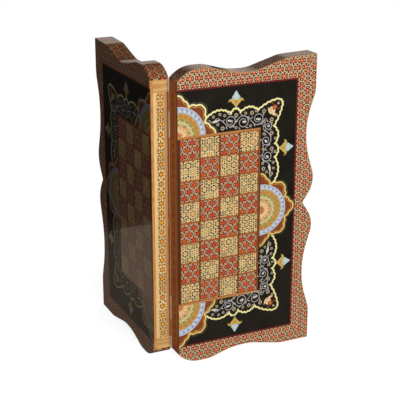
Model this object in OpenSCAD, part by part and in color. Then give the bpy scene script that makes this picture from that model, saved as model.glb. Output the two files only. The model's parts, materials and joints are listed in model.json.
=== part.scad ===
// Folding chess board with wavy edges, a wooden box of two shallow trays
// that are hinged along their spines. Each tray carries half of the chess
// board on its back and half of a backgammon board inside.
// Millimetres, +Z up. The box stands on its lower edges, opened like a book
// to a right angle. The origin is on the surface that it stands on, in the
// middle of the space that it fills.
// Each half is drawn flat: x runs from the spine to the outer edge, y up from
// mid height, and z is the depth, from the hinge axis to the playing face.

/* [Chess grid] */
// Width of one chess square, measured between the middles of its lines
square = 35; // [30:0.5:45]
// Width of the brown line between two squares
stringing_w = 3; // [1:0.1:4]
// Width of the orange-brown band above and below the grid
banding_w = 3.5; // [2:0.1:6]
// Width of the orange-brown band beside the grid, on its outer side
banding_side_w = 2; // [1:0.1:6]
// Width of the dark band between the grid and the spine
spine_margin = 3.3; // [2:0.1:6]

/* [Painted field and border] */
// Height of the black painted field above and below the grid
field_end = 76; // [60:1:95]
// Width of the black painted field beside the grid
field_side = 66.5; // [50:0.5:85]
// Width of the dark red fillet around the painted field
fillet_w = 2.8; // [1:0.1:5]
// Width of the star border above and below the field, from the fillet to the crests
border_end_w = 30.4; // [26:0.1:40]
// Width of the star border beside the field, from the fillet to the crests
border_side_w = 33.45; // [28:0.05:42]

/* [Wavy outline] */
// Height from the spine's upper corner to the crests
shoulder_drop = 17.4; // [12:0.1:24]
// Distance from the spine to where the line of the shoulder meets the crest line
shoulder_x = 15.2; // [12:0.1:24]
// Radius of the first crest on the side of the spine
crest_r_spine = 49.5; // [36:0.5:60]
// Distance from the spine to where the first crest's line starts to fall
crest_end_x = 56.2; // [48:0.1:62]
// Radius of the first crest on the side that falls to the dip
crest_r_outer = 57.5; // [40:0.5:70]
// Depth of the dips in the top and bottom edges
dip_depth = 12.8; // [8:0.1:20]
// Distance from the spine to where the falling line meets the bottom of the dip
dip_start_x = 100.5; // [92:0.5:108]
// Radius of the dip on the side of the spine
dip_r_spine = 126; // [80:1:150]
// Distance from the spine to where the dip's line starts to rise
dip_end_x = 133; // [126:0.5:140]
// Radius of the dip on the outer side
dip_r_outer = 62; // [40:0.5:80]
// Distance from the spine to where the rising line meets the crest line
rise_end_x = 191.8; // [180:0.1:200]
// Radius where the rising line meets the crest line
rise_r = 52; // [30:1:80]
// How much higher the top edge's outer crest starts than its crest at the spine
outer_crest_lift = 3.8; // [0:0.1:8]
// How much higher the upper outer corner is than the crest at the spine
corner_lift = 5.7; // [0:0.1:8]
// Height of the notch in the outer edge above mid height
notch_lift = 4; // [0:0.1:8]
// Height above mid height where the outer edge starts to fall inwards
side_fall_y = 191.6; // [183:0.1:203]
// Radius at the start of the outer edge's fall
side_fall_r = 52; // [30:1:80]
// Depth of the long dips in the outer edge
side_dip = 15.3; // [8:0.1:18]
// Height above the notch of the far end of the outer edge's dip
side_dip_far_y = 146; // [138:0.5:154]
// Radius of the far end of the outer edge's dip
side_dip_far_r = 155; // [100:1:200]
// Height above the notch of the near end of the outer edge's dip
side_dip_near_y = 97.4; // [90:0.1:105]
// Radius of the near end of the outer edge's dip
side_dip_near_r = 171; // [120:1:220]
// Height above the notch of the far end of the outer lobe
lobe_far_y = 49; // [44:0.1:56]
// Radius of the far end of the outer lobe
lobe_far_r = 47.6; // [30:0.1:60]
// Height above the notch of the near end of the outer lobe
lobe_near_y = 27.7; // [22:0.1:32]
// Radius of the near end of the outer lobe
lobe_near_r = 50.4; // [30:0.1:60]
// Depth of the sharp notch between the two outer lobes
notch_depth = 18.3; // [12:0.1:22]

/* [Layers] */
// Thickness of one half, from its rim to its playing face
half_depth = 31.8; // [28:0.1:42]
// Thickness of the inlay and of the painted panel on the playing face
face_t = 1.2; // [0.8:0.1:2]
// Thickness of the ground board under them
ground_t = 4.5; // [3:0.5:8]
// Thickness of the inlay around the edges
edge_t = 1.2; // [0.8:0.1:2]
// Thickness of the facing on the rim, and of the hinge leaves that are let into it
rim_t = 1.2; // [0.8:0.1:1.6]
// Thickness of the strips on the spine
spine_facing_t = 1.2; // [0.8:0.1:2]

/* [Rails and spine] */
// Width of the spine rail with its facing
spine_rail_w = 15; // [13:0.5:20]
// Width of the outer rail at the crests
outer_rail_w = 33.35; // [28:0.05:39]
// Width of the top and bottom rails at the crests
end_rail_w = 39.2; // [32:0.1:46]
// Width of the light brown strip beside the rim on the spine
spine_rim_strip_w = 6.8; // [3:0.1:8]
// Width of the star strip on the spine
spine_star_strip_w = 13; // [8:0.5:15]

/* [Inside] */
// Thickness of the lining of the tray's walls
lining_t = 1; // [0.6:0.1:2]
// Thickness of the inside playing surface
playing_t = 1; // [0.6:0.1:2]
// Length of one backgammon point
point_len = 160; // [120:5:185]
// Space between the bases of two backgammon points
point_gap = 2.4; // [1:0.1:6]

/* [Hinges] */
// Distance from the hinge axis to the rim of each half
rim_gap = 0.3; // [0.2:0.05:1]
// Distance from the hinge axis to the spine of each half
spine_gap = 0.1; // [0.05:0.05:0.5]
// Height of each hinge's middle above or below mid height
hinge_y = 157.5; // [120:0.5:180]
// Length of one hinge
hinge_len = 40; // [30:1:55]
// Outer radius of the hinge's knuckles
knuckle_r = 1.6; // [1.3:0.05:1.8]
// Number of knuckles on one hinge
knuckles = 5; // [3:2:7]
// Space between two knuckles
knuckle_gap = 0.2; // [0.1:0.05:0.5]
// Radius of the hinge pin
pin_r = 0.75; // [0.5:0.05:0.9]
// Clearance between the knuckles and the wood of the spine
knuckle_fit = 0.25; // [0.15:0.05:0.5]
// Clearance around the hinge pin
pin_fit = 0.05; // [0.02:0.01:0.08]
// Radius of the button at each end of the pin
pin_button_r = 1.45; // [1:0.05:1.7]
// Height of the button at each end of the pin
pin_button_h = 0.9; // [0.5:0.1:1.5]
// Distance from the hinge axis to the far edge of a leaf
leaf_w = 12.5; // [10:0.5:13]
// Clearance around a leaf in its seat
leaf_fit = 0.1; // [0.05:0.05:0.3]
// Number of screws in one leaf
leaf_screws = 3; // [2:1:4]
// Length of one screw
screw_len = 10; // [7:0.5:15]
// Radius of the screw's shank
screw_r = 1.1; // [0.8:0.05:1.3]
// Radius of the screw's head
screw_head_r = 2.1; // [1.8:0.1:2.6]
// Clearance around a screw
screw_fit = 0.05; // [0.02:0.01:0.1]
// Width of the slot in the screw's head
screw_slot_w = 0.5; // [0.3:0.1:0.8]
// Depth of the slot in the screw's head
screw_slot_d = 0.4; // [0.2:0.1:0.6]

/* [Hidden] */
$fn = 48;
// Turn of the outline between two of the points on an arc, in degrees
arc_step = 3.5;
// Squares from the spine to the outer side of one half, and from bottom to top
columns = 4;
rows = 8;
// Backgammon points at each end of one half
points_per_end = 6;
// How far a cutting shape runs past what it cuts
over = 5;
// Share of an edge that the arcs at its two ends may use together
arc_share = 0.98;

// Chess grid and painted field, from the spine and from mid height
grid_w = columns * square;
grid_half_h = rows * square / 2;
tile = square - stringing_w;
field_w = spine_margin + grid_w + field_side;
field_half_h = grid_half_h + field_end;
half_w = field_w + fillet_w + border_side_w;
half_h = field_half_h + fillet_w + border_end_w;
dip_y = half_h - dip_depth;
side_dip_x = half_w - side_dip;
// Where the mitre lines at the outer corners end, between the edges' strips
mitre_x = half_w - outer_rail_w;

// Depths from the hinge axis
rim_z = rim_gap;
rail_z = rim_z + rim_t;
outer_z = rim_z + half_depth;
face_z = outer_z - face_t;
ground_z = face_z - ground_t;
playing_z = ground_z - playing_t;
star_strip_z = rail_z + spine_rim_strip_w;
cream_strip_z = star_strip_z + spine_star_strip_w;

// Tray inside the rails, and the playing surface inside the lining
tray_x = spine_rail_w;
tray_w = half_w - outer_rail_w - tray_x;
tray_half_h = half_h - end_rail_w;
playing_x = tray_x + lining_t;
playing_w = tray_w - 2 * lining_t;
playing_half_h = tray_half_h - lining_t;
point_pitch = playing_w / points_per_end;

// Hinges
knuckle_len = hinge_len / knuckles;
leaf_x = knuckle_r + 2 * leaf_fit;
leaf_mid_x = (leaf_x + leaf_w) / 2;
seat_half_len = hinge_len / 2 + pin_button_h + 2 * leaf_fit;
screw_step = hinge_len / leaf_screws;

// Middle of the space that the opened box fills, from the hinge axis
middle = (spine_gap + half_w - outer_z) / 2;

// Placement of the halves

// Stands a flat drawn half up to the right of the hinge axis
module right_half()
    translate([-middle, -middle, half_h]) rotate([90, 0, 0]) children();

// Stands a flat drawn half up to the left, as a mirror image of the right one
module left_half()
    translate([-middle, -middle, half_h]) mirror([1, -1, 0]) rotate([90, 0, 0]) children();

// Gives a flat shape its thickness between two depths, clear of the hinge axis
module layer(from, to)
    translate([spine_gap, 0, from]) linear_extrude(to - from) children();

// A rectangle from x0 to x1, as far above mid height as below it
module band(x0, x1, half)
    translate([x0, -half]) square([x1 - x0, 2 * half]);

// Wavy outline: corners [x, y, radius] joined by lines, each corner rounded by an arc

function xy(p) = [p.x, p.y];
function unit(v) = v / norm(v);
function cross2(a, b) = a.x * b.y - a.y * b.x;
function turned(v, a) = [v.x * cos(a) - v.y * sin(a), v.x * sin(a) + v.y * cos(a)];

// Corners of one end of the outline, clockwise from the spine's corner of the upper end
function end_corners(crest_lift, corner_lift, notch_y) = [
    [0, half_h - shoulder_drop, 0],
    [shoulder_x, half_h, crest_r_spine],
    [crest_end_x, half_h, crest_r_outer],
    [dip_start_x, dip_y, dip_r_spine],
    [dip_end_x, dip_y, dip_r_outer],
    [rise_end_x, half_h + crest_lift, rise_r],
    [half_w, half_h + corner_lift, 0],
    [half_w, side_fall_y, side_fall_r],
    [side_dip_x, notch_y + side_dip_far_y, side_dip_far_r],
    [side_dip_x, notch_y + side_dip_near_y, side_dip_near_r],
    [half_w, notch_y + lobe_far_y, lobe_far_r],
    [half_w, notch_y + lobe_near_y, lobe_near_r]
];

// The whole outline: the upper end, the notch, and the lower end, which stands level
function all_corners() = let (lower = end_corners(0, 0, -notch_lift)) [
    each end_corners(outer_crest_lift, corner_lift, notch_lift),
    [half_w - notch_depth, notch_lift, 0],
    for (i = [len(lower) - 1 : -1 : 0]) [lower[i].x, -lower[i].y, lower[i][2]]
];

// Directions of the lines that leave the corners
function directions(p) = let (n = len(p)) [for (i = [0 : n - 1]) unit(xy(p[(i + 1) % n]) - xy(p[i]))];

// Turn at each corner, from the directions of its lines
function turns(dir) = let (n = len(dir)) [for (i = [0 : n - 1]) let (last = dir[(i + n - 1) % n])
    atan2(cross2(last, dir[i]), last * dir[i])];

// The corners with each radius cut back where an edge is too short for its two arcs
function fitted(p) = let (
    n = len(p),
    turn = turns(directions(p)),
    wish = [for (i = [0 : n - 1]) p[i][2] * tan(abs(turn[i]) / 2)],
    share = [for (i = [0 : n - 1]) let (
        both = wish[i] + wish[(i + 1) % n],
        room = arc_share * norm(xy(p[(i + 1) % n]) - xy(p[i]))
    ) both > room ? room / both : 1]
) [for (i = [0 : n - 1]) [p[i].x, p[i].y, p[i][2] * min(share[(i + n - 1) % n], share[i])]];

// Corner v of two lines with the inward normals n1 and n2, moved in by d1 and d2
function moved_corner(v, n1, n2, d1, d2) = let (det = cross2(n1, n2))
    v + [d1 * n2.y - d2 * n1.y, n1.x * d2 - n2.x * d1] / det;

// The corners moved inwards, by one distance at the spine and another elsewhere
function inset_corners(p, wavy, spine) = let (
    n = len(p),
    dir = directions(p),
    inward = [for (d = dir) [d.y, -d.x]],
    by = [for (i = [0 : n - 1]) i == n - 1 ? spine : wavy]
) [for (i = [0 : n - 1]) let (
    last = (i + n - 1) % n,
    corner = moved_corner(xy(p[i]), inward[last], inward[i], by[last], by[i]),
    hollow = sign(cross2(dir[last], dir[i]))
) [corner.x, corner.y, p[i][2] > 0 ? max(p[i][2] + hollow * wavy, 0) : 0]];

// Points of the arc with radius r that rounds a corner v, where d is the direction of arrival
function corner_arc(v, d, turn, r) = r <= 0 ? [v] : let (
    start = v - d * r * tan(abs(turn) / 2),
    centre = start + sign(turn) * r * [-d.y, d.x],
    steps = max(1, ceil(abs(turn) / arc_step))
) [for (k = [0 : steps]) centre + turned(start - centre, turn * k / steps)];

// The corners with their arcs
function rounded(p) = let (n = len(p), dir = directions(p), turn = turns(dir))
    [for (i = [0 : n - 1]) each corner_arc(xy(p[i]), dir[(i + n - 1) % n], turn[i], p[i][2])];

// The wavy outline, moved in by the given distances
module wavy_outline(wavy, spine = 0)
    polygon(rounded(inset_corners(fitted(all_corners()), wavy, spine)));

// The outline inside the edge inlay
module core_outline()
    wavy_outline(edge_t);

// Wooden tray

module spine_rail()
    color("burlywood") difference() {
        layer(rail_z, ground_z) band(spine_facing_t, spine_rail_w, tray_half_h);
        knuckle_seats();
        pilot_holes();
    }

module outer_rail()
    color("burlywood") layer(rail_z, ground_z) intersection() {
        core_outline();
        band(tray_x + tray_w, half_w, tray_half_h);
    }

// The rail at the top (1) or the bottom (-1)
module end_rail(end)
    color("burlywood") layer(rail_z, ground_z) intersection() {
        core_outline();
        mirror([0, 1 - end]) translate([0, tray_half_h]) square([half_w, end_rail_w + corner_lift]);
    }

module ground_board()
    color("peru") layer(ground_z, face_z) core_outline();

// Playing face: star border, fillet, painted field and chess grid in one layer

module star_border()
    color("tan") layer(face_z, outer_z) difference() {
        core_outline();
        band(-over, field_w + fillet_w, field_half_h + fillet_w);
    }

module red_fillet()
    color("darkred") layer(face_z, outer_z) difference() {
        band(0, field_w + fillet_w, field_half_h + fillet_w);
        band(-over, field_w, field_half_h);
    }

module painted_field()
    color([0.04, 0.04, 0.05]) layer(face_z, outer_z) difference() {
        band(0, field_w, field_half_h);
        band(-over, spine_margin + grid_w + banding_side_w, grid_half_h + banding_w);
    }

module grid_banding()
    color("chocolate") layer(face_z, outer_z) difference() {
        band(0, spine_margin + grid_w + banding_side_w, grid_half_h + banding_w);
        band(spine_margin, spine_margin + grid_w, grid_half_h);
    }

// The squares whose column and row add up to an odd (1) or an even (0) number
module tiles(odd)
    for (column = [0 : columns - 1], row = [0 : rows - 1])
        if ((column + row) % 2 == odd)
            translate([spine_margin + column * square + stringing_w / 2,
                       row * square - grid_half_h + stringing_w / 2])
                square(tile);

module grid_stringing()
    color("saddlebrown") layer(face_z, outer_z) difference() {
        band(spine_margin, spine_margin + grid_w, grid_half_h);
        tiles(0);
        tiles(1);
    }

module light_squares(odd)
    color("khaki") layer(face_z, outer_z) tiles(odd);

module dark_squares(odd)
    color("indianred") layer(face_z, outer_z) tiles(odd);

// Edge inlay: strips along the wavy edges, mitred where they meet

// The strip that follows the whole wavy outline
module edge_strip()
    difference() {
        wavy_outline(0);
        wavy_outline(edge_t, -over);
    }

// Everything past the mitre through the outer corner at the top (1) or the bottom (-1)
module past_mitre(end) {
    corner_y = half_h + (end > 0 ? corner_lift : 0);
    mirror([0, 1 - end])
        polygon([[-over, corner_y + over], [-over, 0], [mitre_x, 0],
                 [mitre_x, corner_y + mitre_x - half_w], [half_w + over, corner_y + over]]);
}

module end_edge_inlay(end)
    color("sienna") layer(rim_z, outer_z) intersection() {
        edge_strip();
        past_mitre(end);
    }

// The strip down the outer edge, with its bend in the notch
module outer_edge_inlay()
    color("sienna") layer(rim_z, outer_z) difference() {
        edge_strip();
        past_mitre(1);
        past_mitre(-1);
    }

// Strips on the spine between the ends of the top and bottom rails

module spine_rim_strip()
    color("peru") difference() {
        layer(rail_z, star_strip_z) band(0, spine_facing_t, tray_half_h);
        knuckle_seats();
    }

module spine_star_strip()
    color("orange") layer(star_strip_z, cream_strip_z) band(0, spine_facing_t, tray_half_h);

module spine_cream_strip()
    color("moccasin") layer(cream_strip_z, ground_z) band(0, spine_facing_t, tray_half_h);

// Facing on the rim, cut out where the hinge leaves are let in
module rim_facing()
    color("saddlebrown") layer(rim_z, rail_z) difference() {
        core_outline();
        band(tray_x, tray_x + tray_w, tray_half_h);
        for (side = [-1, 1])
            translate([-over, side * hinge_y - seat_half_len])
                square([over + leaf_w + leaf_fit - spine_gap, 2 * seat_half_len]);
    }

// Inside of the tray

// The points at the top (1) or the bottom (-1) end that start at an odd or even place
module points(end, odd)
    for (i = [odd : 2 : points_per_end - 1])
        translate([playing_x + i * point_pitch + point_gap / 2, end * playing_half_h])
            polygon([[0, 0], [point_pitch - point_gap, 0],
                     [(point_pitch - point_gap) / 2, -end * point_len]]);

module playing_surface()
    color("sienna") layer(playing_z, ground_z) difference() {
        band(playing_x, playing_x + playing_w, playing_half_h);
        for (end = [-1, 1], odd = [0, 1]) points(end, odd);
    }

module light_points(odd)
    color("wheat") layer(playing_z, ground_z) {
        points(1, odd);
        points(-1, 1 - odd);
    }

module dark_points(odd)
    color("maroon") layer(playing_z, ground_z) {
        points(1, odd);
        points(-1, 1 - odd);
    }

module wall_lining()
    color("peru") layer(rim_z, ground_z) difference() {
        band(tray_x, tray_x + tray_w, tray_half_h);
        band(playing_x, playing_x + playing_w, playing_half_h);
    }

// Hinges, drawn from the hinge axis

// A cylinder that stands on the hinge axis, from y0 upwards
module upright(y0, h, r)
    translate([0, y0, 0]) rotate([-90, 0, 0]) cylinder(h = h, r = r);

// Space in the wood of the spine for the knuckles and the roots of the leaves
module knuckle_seats()
    for (side = [-1, 1])
        translate([-over, side * hinge_y - seat_half_len, 0])
            cube([over + leaf_x + leaf_fit, 2 * seat_half_len, knuckle_r + knuckle_fit]);

// Places of the screws of both hinges
module at_screws()
    for (side = [-1, 1], i = [0 : leaf_screws - 1])
        translate([leaf_mid_x, side * hinge_y + (i - (leaf_screws - 1) / 2) * screw_step, rim_z])
            children();

// A countersunk head and shank, with clearance c around it
module screw_shape(c) {
    cylinder(h = rim_t, r1 = screw_head_r + c, r2 = screw_r + c);
    cylinder(h = screw_len - screw_r, r = screw_r + c);
    translate([0, 0, screw_len - screw_r]) cylinder(h = screw_r + c, r1 = screw_r + c, r2 = c / 2);
}

module pilot_holes()
    at_screws() screw_shape(screw_fit);

module hinge_screws()
    color("silver") at_screws() difference() {
        screw_shape(0);
        translate([-screw_head_r - over, -screw_slot_w / 2, -over])
            cube([2 * (screw_head_r + over), screw_slot_w, over + screw_slot_d]);
    }

// One leaf with every other knuckle, counted from the first one (0) or the second one (1)
module hinge_leaf(first)
    difference() {
        union() {
            translate([leaf_x, -hinge_len / 2, rim_z]) cube([leaf_w - leaf_x, hinge_len, rim_t]);
            for (i = [first : 2 : knuckles - 1]) {
                y0 = -hinge_len / 2 + i * knuckle_len + knuckle_gap / 2;
                upright(y0, knuckle_len - knuckle_gap, knuckle_r);
                translate([0, y0, rim_z])
                    cube([leaf_x + leaf_fit, knuckle_len - knuckle_gap, knuckle_r - rim_z]);
            }
        }
        upright(-hinge_len / 2 - over, hinge_len + 2 * over, pin_r + pin_fit);
    }

module hinge_leaves(first)
    color("silver") difference() {
        for (side = [-1, 1]) translate([0, side * hinge_y, 0]) hinge_leaf(first);
        pilot_holes();
    }

module hinge_pins()
    color("gainsboro") for (side = [-1, 1]) translate([0, side * hinge_y, 0]) {
        upright(-hinge_len / 2 - pin_button_h, hinge_len + 2 * pin_button_h, pin_r);
        for (end = [0, 1]) mirror([0, end, 0])
            upright(hinge_len / 2, pin_button_h, pin_button_r);
    }

right_half() spine_rail();  // right_spine_rail
right_half() outer_rail();  // right_outer_rail
right_half() end_rail(1);  // right_top_rail
right_half() end_rail(-1);  // right_bottom_rail
right_half() ground_board();  // right_ground_board
right_half() star_border();  // right_star_border
right_half() red_fillet();  // right_red_fillet
right_half() painted_field();  // right_painted_field
right_half() grid_banding();  // right_grid_banding
right_half() grid_stringing();  // right_grid_stringing
right_half() light_squares(0);  // right_light_squares
right_half() dark_squares(1);  // right_dark_squares
right_half() end_edge_inlay(1);  // right_top_edge_inlay
right_half() outer_edge_inlay();  // right_outer_edge_inlay
right_half() end_edge_inlay(-1);  // right_bottom_edge_inlay
right_half() spine_rim_strip();  // right_spine_rim_strip
right_half() spine_star_strip();  // right_spine_star_strip
right_half() spine_cream_strip();  // right_spine_cream_strip
right_half() rim_facing();  // right_rim_facing
right_half() playing_surface();  // right_playing_surface
right_half() light_points(0);  // right_light_points
right_half() dark_points(1);  // right_dark_points
right_half() wall_lining();  // right_wall_lining
right_half() hinge_leaves(0);  // right_hinge_leaves
right_half() hinge_screws();  // right_hinge_screws
left_half() spine_rail();  // left_spine_rail
left_half() outer_rail();  // left_outer_rail
left_half() end_rail(1);  // left_top_rail
left_half() end_rail(-1);  // left_bottom_rail
left_half() ground_board();  // left_ground_board
left_half() star_border();  // left_star_border
left_half() red_fillet();  // left_red_fillet
left_half() painted_field();  // left_painted_field
left_half() grid_banding();  // left_grid_banding
left_half() grid_stringing();  // left_grid_stringing
left_half() light_squares(1);  // left_light_squares
left_half() dark_squares(0);  // left_dark_squares
left_half() end_edge_inlay(1);  // left_top_edge_inlay
left_half() outer_edge_inlay();  // left_outer_edge_inlay
left_half() end_edge_inlay(-1);  // left_bottom_edge_inlay
left_half() spine_rim_strip();  // left_spine_rim_strip
left_half() spine_star_strip();  // left_spine_star_strip
left_half() spine_cream_strip();  // left_spine_cream_strip
left_half() rim_facing();  // left_rim_facing
left_half() playing_surface();  // left_playing_surface
left_half() light_points(1);  // left_light_points
left_half() dark_points(0);  // left_dark_points
left_half() wall_lining();  // left_wall_lining
left_half() hinge_leaves(1);  // left_hinge_leaves
left_half() hinge_screws();  // left_hinge_screws
right_half() hinge_pins();
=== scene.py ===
import json
import math

import bmesh
import bpy
import numpy as np
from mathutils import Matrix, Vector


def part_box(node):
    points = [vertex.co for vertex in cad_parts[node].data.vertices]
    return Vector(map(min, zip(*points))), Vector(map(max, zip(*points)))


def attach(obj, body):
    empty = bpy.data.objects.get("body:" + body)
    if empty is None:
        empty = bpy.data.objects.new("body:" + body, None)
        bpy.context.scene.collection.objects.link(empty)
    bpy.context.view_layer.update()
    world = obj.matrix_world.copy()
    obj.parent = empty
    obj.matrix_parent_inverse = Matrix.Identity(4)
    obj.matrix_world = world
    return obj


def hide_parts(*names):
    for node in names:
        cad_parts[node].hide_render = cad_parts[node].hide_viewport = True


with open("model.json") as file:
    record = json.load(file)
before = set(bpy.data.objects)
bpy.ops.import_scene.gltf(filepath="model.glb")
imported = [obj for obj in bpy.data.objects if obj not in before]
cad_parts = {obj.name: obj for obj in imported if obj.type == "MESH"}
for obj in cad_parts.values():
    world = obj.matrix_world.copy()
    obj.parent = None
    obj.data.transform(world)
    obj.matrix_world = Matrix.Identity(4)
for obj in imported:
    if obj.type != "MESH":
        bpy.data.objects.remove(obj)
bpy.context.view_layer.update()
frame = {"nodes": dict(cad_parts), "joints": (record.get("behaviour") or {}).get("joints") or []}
nodes = frame["nodes"]
halves = ("right", "left")


# Rails. Light poplar rails are sawn to the wavy outline and glued round the edge of each half.
# Inlay covers most of them, and the bare varnished wood shows at both ends of the spine, where the
# right half's is painted darker and redder: painted warm shade.

hinge_x, hinge_y, mid_height = frame["joints"][0]["pos_m"]


def tone(chart):
    """A paint chart's colour, three numbers from 0 to 255, turned into the linear one of a shader."""
    share = np.array(chart) / 255
    linear = np.where(share <= 0.04045, share / 12.92, ((share + 0.055) / 1.055) ** 2.4)
    return (*linear, 1)


def operator(name, turned=False):
    """An operator that adds one Math node. Where it is turned, the other number comes first."""
    def work(measure, *other):
        numbers = (*other, measure) if turned else (measure, *other)
        return measure.finish.maths(name, *numbers)

    return work


class Measure:
    """A number that changes over a surface: one socket of a finish, with Python's operators."""

    __add__ = __radd__ = operator("ADD")
    __mul__ = __rmul__ = operator("MULTIPLY")
    __sub__ = operator("SUBTRACT")
    __rsub__ = operator("SUBTRACT", turned=True)
    __truediv__ = operator("DIVIDE")
    __lt__ = operator("LESS_THAN")
    __gt__ = operator("GREATER_THAN")
    __abs__ = operator("ABSOLUTE")
    __floor__ = operator("FLOOR")
    __round__ = operator("ROUND")

    def __init__(self, finish, socket):
        self.finish = finish
        self.socket = socket


class Finish:
    """The nodes of one material, or of the room's light."""

    def __init__(self, block):
        block.use_nodes = True
        self.block = block
        self.tree = block.node_tree
        self.surface = next(n for n in self.tree.nodes if n.type in ("BSDF_PRINCIPLED", "BACKGROUND"))

    def node(self, kind, settings, sockets, output=0):
        """Adds a node: its settings first, then the value or the link of each socket."""
        new = self.tree.nodes.new("ShaderNode" + kind)
        for name, value in settings.items():
            if name == "stops":
                new.color_ramp.elements.remove(new.color_ramp.elements[1])
                new.color_ramp.elements[0].position = 0
                new.color_ramp.elements[0].color = tone(value[0][1])
                for place, colour in value[1:]:
                    new.color_ramp.elements.new(place).color = tone(colour)
            elif name == "steps":
                new.color_ramp.interpolation = value
            else:
                setattr(new, name, value)
        self.feed(new, sockets)
        return Measure(self, new.outputs[output])

    def feed(self, node, values):
        """Links each socket to what changes over the surface, or gives it a value.

        Three numbers are a colour as a paint chart gives it."""
        for name, value in values.items():
            if isinstance(value, Measure):
                self.tree.links.new(value.socket, node.inputs[name])
            elif isinstance(value, tuple) and len(value) == 3:
                node.inputs[name].default_value = tone(value)
            else:
                node.inputs[name].default_value = value

    def maths(self, operation, *values):
        """One sum on numbers."""
        return self.node("Math", {"operation": operation}, dict(enumerate(values)))

    def mix(self, share, under, over):
        """Lays a colour over another where the share is 1."""
        return self.node("Mix", {"data_type": "RGBA"}, {0: share, 6: under, 7: over}, 2)

    def ramp(self, value, *stops, steps="LINEAR"):
        """Turns a number from 0 to 1 into a colour, blended between the stops or stepped at them."""
        return self.node("ValToRGB", {"stops": stops, "steps": steps}, {0: value})

    def chance(self, number):
        """A fixed random number from 0 to 1 for each different number."""
        return self.node("TexWhiteNoise", {"noise_dimensions": "1D"}, {"W": number})

    def noise(self, x, y, z, detail=2):
        """Soft noise whose grain is about one unit of the three places that it is given."""
        spot = self.node("CombineXYZ", {}, {0: x, 1: y, 2: z})
        return self.node("TexNoise", {}, {"Vector": spot, "Scale": 1, "Detail": detail})

    def axes(self, places):
        """The three numbers of a texture coordinate, such as the place on the object in metres."""
        spot = self.node("TexCoord", {}, {}, places)
        numbers = self.node("SeparateXYZ", {}, {0: spot})
        return [Measure(self, socket) for socket in numbers.socket.node.outputs]

    def ray(self, kind):
        """1 on the light that reaches the eye in one way, and 0 on all other light."""
        return self.node("LightPath", {}, {}, f"Is {kind} Ray")

    def place(self):
        """Millimetres across a half from the hinge axis, up from mid height, and out to the face.

        The halves are mirror images of each other, so the larger of x and y always runs across
        a half, and the smaller one through its thickness."""
        x, y, z = self.axes("Object")
        across = (self.maths("MAXIMUM", x, y) - hinge_x) * 1000
        out = (hinge_x - self.maths("MINIMUM", x, y)) * 1000
        return across, (z - mid_height) * 1000, out

    def on_right(self):
        """1 on the right half, where x is the larger of x and y, and 0 on the left one."""
        x, y = self.axes("Object")[:2]
        return x > y

    def right_warm_shade(self, colour, pores, pale, deep):
        """Paints the right half's wood darker and redder, deepest in its pores: painted warm shade."""
        return self.mix(self.on_right(), colour, self.mix(pores, pale, deep))

    def lay(self, colour, roughness=0.42, coat=1.0, gloss=0.06, sheen=0.25, relief=None, height=0.02):
        """Lays colour, roughness and sheen on the surface, under varnish of a thickness and a gloss.

        The relief is a number from 0 to 1, and the height is what it raises, in millimetres."""
        self.feed(self.surface, {
            "Base Color": colour, "Roughness": roughness, "Specular IOR Level": sheen,
            "Coat Weight": coat, "Coat Roughness": gloss, "Coat IOR": varnish_ior})
        if relief is not None:
            sockets = {"Height": relief, "Strength": 1, "Distance": height / 1000}
            self.feed(self.surface, {"Normal": self.node("Bump", {}, sockets, "Normal")})

    def on(self, *names):
        """Puts the finish on the like nodes of both halves."""
        for name in names:
            for half in halves:
                for place in nodes[f"{half}_{name}"].material_slots:
                    place.material = self.block


def finish(name):
    """A new material."""
    return Finish(bpy.data.materials.new(name))


def sawn(name, grain, light, dark, ring):
    """A new finish of sawn wood: the places on it, its colour, and a number that is high in its pores.

    The grain names the ways along it, across it and through it, where round follows the walls of a
    tray. The growth lines are a sine across the grain, a ring apart, shifted by soft noise that is
    long and thin. The colour is a weighted sum of the lines, of the pores and of broad patches."""
    made = finish(name)
    across, up, out = made.place()
    ways = {"across": across, "up": up, "out": out, "round": across + up}
    along, beside, through = (ways[way] for way in grain.split())

    def drawn(long, fine, detail=2):
        """Noise with so many bumps for each millimetre along the grain and across it."""
        return made.noise(along * long, beside * fine, through * fine, detail)

    drift = drawn(0.011, 0.05) * drift_reach
    rings = made.maths("SINE", (beside + through * 0.6 + drift) * (2 * math.pi / ring)) * 0.5 + 0.5
    pores = drawn(0.12, 3.1, 3)
    share = rings * 0.34 + pores * 0.5 + drawn(0.02, 0.09) * 0.5 - 0.2
    return made, (across, up, out), made.ramp(share, (0, light), (1, dark)), pores


def boards(name, grain, light, dark, ring, pieces, right_warm_shade=None, roughness=0.42):
    """Finishes pieces with sawn wood all over.

    A darker, redder pale and deep pair colours the right half's pieces as painted warm shade, and the
    varnish over it is thin."""
    made, place, colour, pores = sawn(name, grain, light, dark, ring)
    if right_warm_shade:
        made.lay(made.right_warm_shade(colour, pores, *right_warm_shade), relief=pores, **thin_varnish)
    else:
        made.lay(colour, roughness, relief=pores)
    made.on(*pieces)


def box_mm(name):
    """The lower and the upper corner of a right piece, in millimetres across, up and out."""
    corners = [((corner.x - hinge_x) * 1000, (corner.z - mid_height) * 1000, (hinge_y - corner.y) * 1000)
               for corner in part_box("right_" + name)]
    return np.sort(corners, 0)


drift_reach = 22
varnish_ior = 1.38
thin_varnish = {"roughness": 0.45, "coat": 0.3, "sheen": 0.1}
boards("rail_wood", "out up across", (252, 210, 138), (176, 110, 50), 8.5,
       ("top_rail", "bottom_rail"), ((250, 144, 78), (156, 72, 36)))
boards("upright_rail_wood", "up across out", (226, 184, 120), (184, 128, 68), 3.4,
       ("outer_rail", "spine_rail"), roughness=0.45)


# Ground boards. A thin board of orange-brown wood backs the inlay of each half.
# It is glued onto the rails, and its long edge shows on the spine beside the playing face. On the
# right half that edge is painted darker and redder: painted warm shade.

boards("ground_wood", "up across out", (244, 176, 98), (180, 114, 58), 1.7,
       ("ground_board",), ((226, 122, 54), (156, 72, 34)))


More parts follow.
